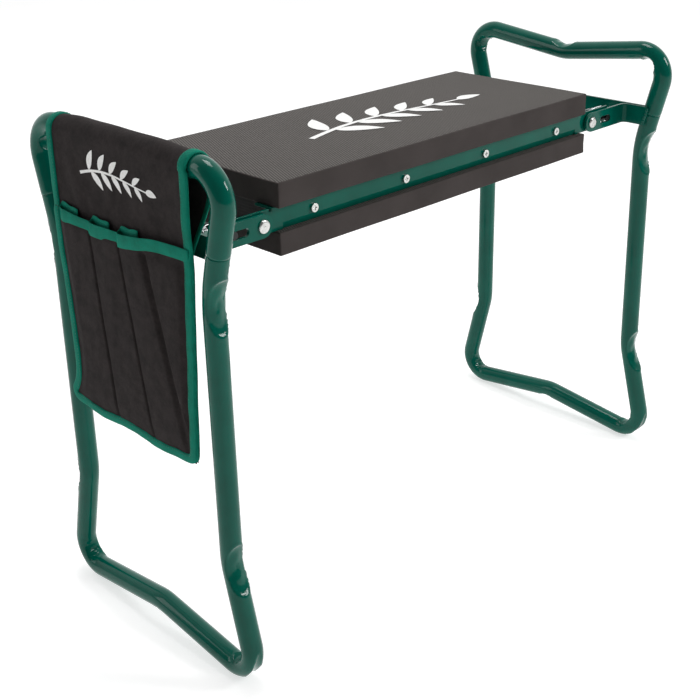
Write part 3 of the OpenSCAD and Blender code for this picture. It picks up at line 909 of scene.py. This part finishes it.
def edge_rows():
    """The pouch's outline as (place, way into the cloth, way it faces, share of the pocket below it)."""
    rows = []

    def over(side, steps):
        edge = float(near_edge(SADDLE_Z)) + 1.5 if side < 0 else float(far_edge(SADDLE_Z)) - 0.5
        found = []
        for s in steps:
            y = edge - side * 6.5 * max(0.0, s - 2)
            p, way = section(y, s)
            found.append((p, Vector((0, -side, 0)), way, -max(0.0, min(1.0, (s - 2) * 4))))
        return found

    back = [3 - i / 24 for i in range(24)]
    top = [2 - i / 16 for i in range(17)]
    rows += over(-1, back + top)
    line = []
    corner_r = 10.5
    corner_z = POUCH_LOW + 10
    z = SADDLE_Z - 4
    while z > corner_z:
        line.append((float(near_edge(z)), z))
        z -= 4.0
    corner = (float(near_edge(corner_z)), corner_z)
    for k in range(1, 7):
        a = math.pi / 2 * k / 6
        line.append((corner[0] + corner_r * (1 - math.cos(a)), corner[1] - (corner_r + 1) * math.sin(a)))
    y = corner[0] + 15
    while y < float(far_edge(POUCH_LOW)) - 14:
        line.append((y, float(low_edge(y)) - 0.6))
        y += 3.5
    hub_y = float(far_edge(POUCH_LOW)) - corner_r - 2
    for k in range(1, 10):
        a = math.radians(-90 + 125 * k / 9)
        line.append((hub_y + corner_r * math.cos(a), float(low_edge(hub_y)) - 0.6 + corner_r * (1 + math.sin(a))))
    z = POUCH_LOW + 16.0
    while z < SADDLE_Z - 2:
        line.append((float(far_edge(z)), z))
        z += 4.0
    line = np.array(line)
    for _ in range(2):
        line[1:-1] = 0.25 * line[:-2] + 0.5 * line[1:-1] + 0.25 * line[2:]
    ahead = np.gradient(line, axis=0)
    ahead /= np.linalg.norm(ahead, axis=1)[:, None]
    for (y, z), (ty, tz) in zip(line, ahead):
        into = Vector((0, -tz, ty))
        inside_y = y + into.y * 4
        inside_z = z + into.z * 4
        x = float(cloth_x(inside_y, inside_z))
        rows.append((Vector((x, y, z)), into, Vector((-1, 0, 0)), float(smooth_step((MOUTH_Z + 3 - z) / 6))))
    rows += list(reversed(over(1, back + top)))
    return rows


def make_edge_binding():
    """A folded tape round the pouch's whole outline, and the line of its seam."""
    rows = edge_rows()
    stations, seam = [], []
    for n, (p, into, way, pocket) in enumerate(rows):
        flap = max(0.0, -pocket)
        lift = 1.5 + 1.7 * max(0.0, pocket) - 0.5 * flap
        wide = 8.8 - 4.3 * flap
        wave_in = 0.25 * math.sin(n * 0.9) + 0.2 * math.sin(n * 0.37)
        row = []
        for i, k in ((wide + wave_in, lift), (wide - 0.5 + wave_in, lift + 0.45), (wide * 0.57, lift + 0.55),
                     (1.6, lift + 0.35), (0.3, lift - 0.1), (-0.35, 0.2), (-0.1, -0.55), (1.2, -0.95),
                     (wide * 0.5, -0.9), (wide - 0.6, -0.85), (wide - 0.2, -0.5)):
            row.append(p + into * i + way * k)
        stations.append(row)
        seam.append((p + into * (wide - 1.6) + way * (lift + 0.55), way))
    piece = strip("pouch_edge_tape", stations)
    give(piece, "left_leg", "green_binding", "pouch_edge_binding")
    return piece, seam


def make_stitches(name, seam, pitch=3.0, long=1.9, thick=0.26):
    """Thread lying on the tape, one short grain for each stitch."""
    made_verts, faces = [], []
    left = 0.0
    for (p, way), (q, _) in zip(seam, seam[1:]):
        gap = q - p
        length = gap.length
        if length < 1e-6 or length > 12:
            continue
        t = gap / length
        while left < length:
            centre = p + t * left
            other = t.cross(way).normalized()
            base = len(made_verts)
            for f, r in ((-0.5, 0.25), (-0.3, 0.9), (0.0, 1.1), (0.3, 0.9), (0.5, 0.25)):
                for j in range(6):
                    a = j * math.pi / 3
                    round_it = (other * math.cos(a) + way * math.sin(a)) * (thick * r)
                    made_verts.append((centre + t * (f * long) + round_it) * MM)
            faces += [tuple(base + k for k in f) for f in ring_faces(5, 6)]
            left += pitch
        left -= length
    piece = mesh_object(name, made_verts, faces, thread_mat)
    return give(outward(piece), "left_leg", "green_binding")


def make_closure():
    """Fuzzy strip that closes the back flap on the panel."""
    low, high = (np.array(v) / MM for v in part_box("pouch_closure"))
    inset = np.array((0.1, 0, 0))
    piece = rounded_box("pouch_closure_strip", low + inset, high - inset, 0.6, 3, hook_mat)
    co = np.array([v.co for v in piece.data.vertices]) / MM
    co[:, 2] += 0.5 * np.sin(co[:, 1] / 12.0)
    piece.data.vertices.foreach_set("co", (co * MM).ravel())
    return give(piece, "left_leg", "hook_and_loop", "pouch_closure")


# ---------------------------------------------------------------- printed leaf sprigs

def sprig(length, height):
    """A generic leaf sprig in its own plane: a stem with pairs of leaves, as lists of outlines."""
    shapes = []

    def stem(t):
        rise = -0.16 + 0.30 * math.sin(math.pi * (t * 1.05 - 0.05)) * (0.7 - 0.5 * t)
        return np.array((-length / 2 + length * t, height * rise))

    upper, lower = [], []
    for k in range(33):
        t = k / 32
        p = stem(t)
        d = stem(min(t + 0.01, 1.01)) - stem(t - 0.01)
        n = np.array((-d[1], d[0])) / np.linalg.norm(d)
        w = height * (0.034 - 0.020 * t)
        upper.append(p + n * w)
        lower.append(p - n * w)
    shapes.append(("band", upper, lower))
    for k in range(5):
        t = 0.14 + 0.165 * k
        for side in (1, -1):
            root = stem(t + (0.03 if side < 0 else 0))
            d = stem(t + 0.02) - stem(t - 0.02)
            base = math.atan2(d[1], d[0])
            size = height * (0.56 - 0.045 * k)
            shapes.append(("leaf", root, base + side * math.radians(52 - 3 * k), size, size * 0.17))
    d = stem(1.0) - stem(0.97)
    shapes.append(("leaf", stem(0.985), math.atan2(d[1], d[0]), height * 0.40, height * 0.08))
    return shapes


def make_print(name, body, slot, length, height, put):
    """put turns a place in the print's plane into one on the object, just proud of its surface."""
    verts, faces = [], []
    for shape in sprig(length, height):
        base = len(verts)
        if shape[0] == "band":
            for u, w in zip(shape[1], shape[2]):
                verts += [put(*u), put(*w)]
            faces += [(base + 2 * i, base + 2 * i + 1, base + 2 * i + 3, base + 2 * i + 2)
                      for i in range(len(shape[1]) - 1)]
        else:
            _, root, angle, size, wide = shape
            along = np.array((math.cos(angle), math.sin(angle)))
            across = np.array((-along[1], along[0]))
            rows = 15
            for i in range(rows):
                t = i / (rows - 1)
                w = wide * math.sin(math.pi * t ** 0.8) ** 0.85 + 0.01
                mid = root + along * size * (0.07 + 0.93 * t) + across * (0.06 * size * math.sin(math.pi * t))
                for c in (-1, -0.34, 0.34, 1):
                    verts.append(put(*(mid + across * w * c)))
            for i in range(rows - 1):
                for c in range(3):
                    a = base + i * 4 + c
                    faces.append((a, a + 1, a + 5, a + 4))
    piece = mesh_object(name, [Vector(v) * MM for v in verts], faces, print_mat)
    return give(piece, body, slot)


# ---------------------------------------------------------------- everything together

make_camera()
for end, word in ((-1, "left"), (1, "right")):
    make_handle(end, word)
    make_foot(end, word)
    make_welds(end, word)
    make_springs(end, word)
    for n in ("cross_plate", "front_arm", "rear_arm"):
        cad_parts[f"{word}_{n}"].data.materials[0] = edged_paint
    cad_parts[f"{word}_lock_rod"].data.materials[0] = rod_painted_shade_mat
    for n in ("rod_collars", "pivot_rivets"):
        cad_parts[f"{word}_{n}"].data.materials[0] = zinc
    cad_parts[f"{word}_pivot_washers"].data.materials[0] = nylon
for n in ("front_rail", "rear_rail"):
    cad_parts[n].data.materials[0] = edged_paint
    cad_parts[f"{n}_screws"].data.materials[0] = zinc
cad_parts["core_board"].data.materials[0] = board_painted_shade_mat

make_pad("seat_pad_foam", "seat_pad", 1)
make_pad("kneeling_pad_foam", "kneeling_pad", -1)

pouch = make_pouch_cloth()
pockets = make_pockets()
tapes = make_pocket_binding()
edge_tape, edge_seam = make_edge_binding()
edge_thread = make_stitches("pouch_edge_stitches", edge_seam)
make_closure()

mark_z = SADDLE_Z - 25
make_print("pouch_print", "left_leg", "green_binding", 96, 40,
           lambda a, b: (float(cloth_x(2 - a, mark_z + b)) - 0.85, 2 - a, mark_z + b))
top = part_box("seat_pad")[1].z / MM
make_print("seat_print", "seat", "eva_foam", 214, 92, lambda a, b: (1 + a, 7 + b, top + 0.95))

bpy.ops.mesh.primitive_plane_add(size=12, location=(0, 0, -0.0003))
floor = bpy.context.active_object
floor.name = "floor"
floor_mat, floor_tree, floor_shader = material("floor_finish", (0.55, 0.55, 0.55), 0.9)
tint = ramp(floor_tree, noise(floor_tree, 3, 2), (0.3, (0.53, 0.53, 0.53)), (0.7, (0.57, 0.57, 0.57)))
floor_tree.links.new(tint, floor_shader.inputs["Base Color"])
floor_shader.inputs["Emission Color"].default_value = (1, 1, 1, 1)
floor_shader.inputs["Emission Strength"].default_value = 0.64
floor.data.materials.append(floor_mat)

world = bpy.data.worlds.new("studio")
scene.world = world
world.use_nodes = True
sky = world.node_tree
ahead = node(sky, "ShaderNodeVectorMath", operation="DOT_PRODUCT")
sky.links.new(node(sky, "ShaderNodeTexCoord").outputs["Generated"], ahead.inputs[0])
ahead.inputs[1].default_value = Vector((0.66, 0.70, 0.10))
level = math_node(sky, "MULTIPLY_ADD", ahead.outputs["Value"], 0.5, 0.5)
glow = ramp(sky, level, (0.30, (0.10,) * 3), (0.52, (0.24,) * 3), (0.72, (1.12,) * 3))
sky.links.new(glow, sky.nodes["Background"].inputs["Color"])
sky.nodes["Background"].inputs["Strength"].default_value = 1.0
area_light("key", (1.5, -2.0, 1.9), (0, 0, 0.3), (0.6, 0.9), 40)
area_light("fill", (-2.0, 1.5, 1.2), (-0.1, 0, 0.3), (0.5, 1.6), 7)
area_light("top", (0.2, 0.4, 2.6), (0, 0, 0.3), (0.9, 0.9), 24)
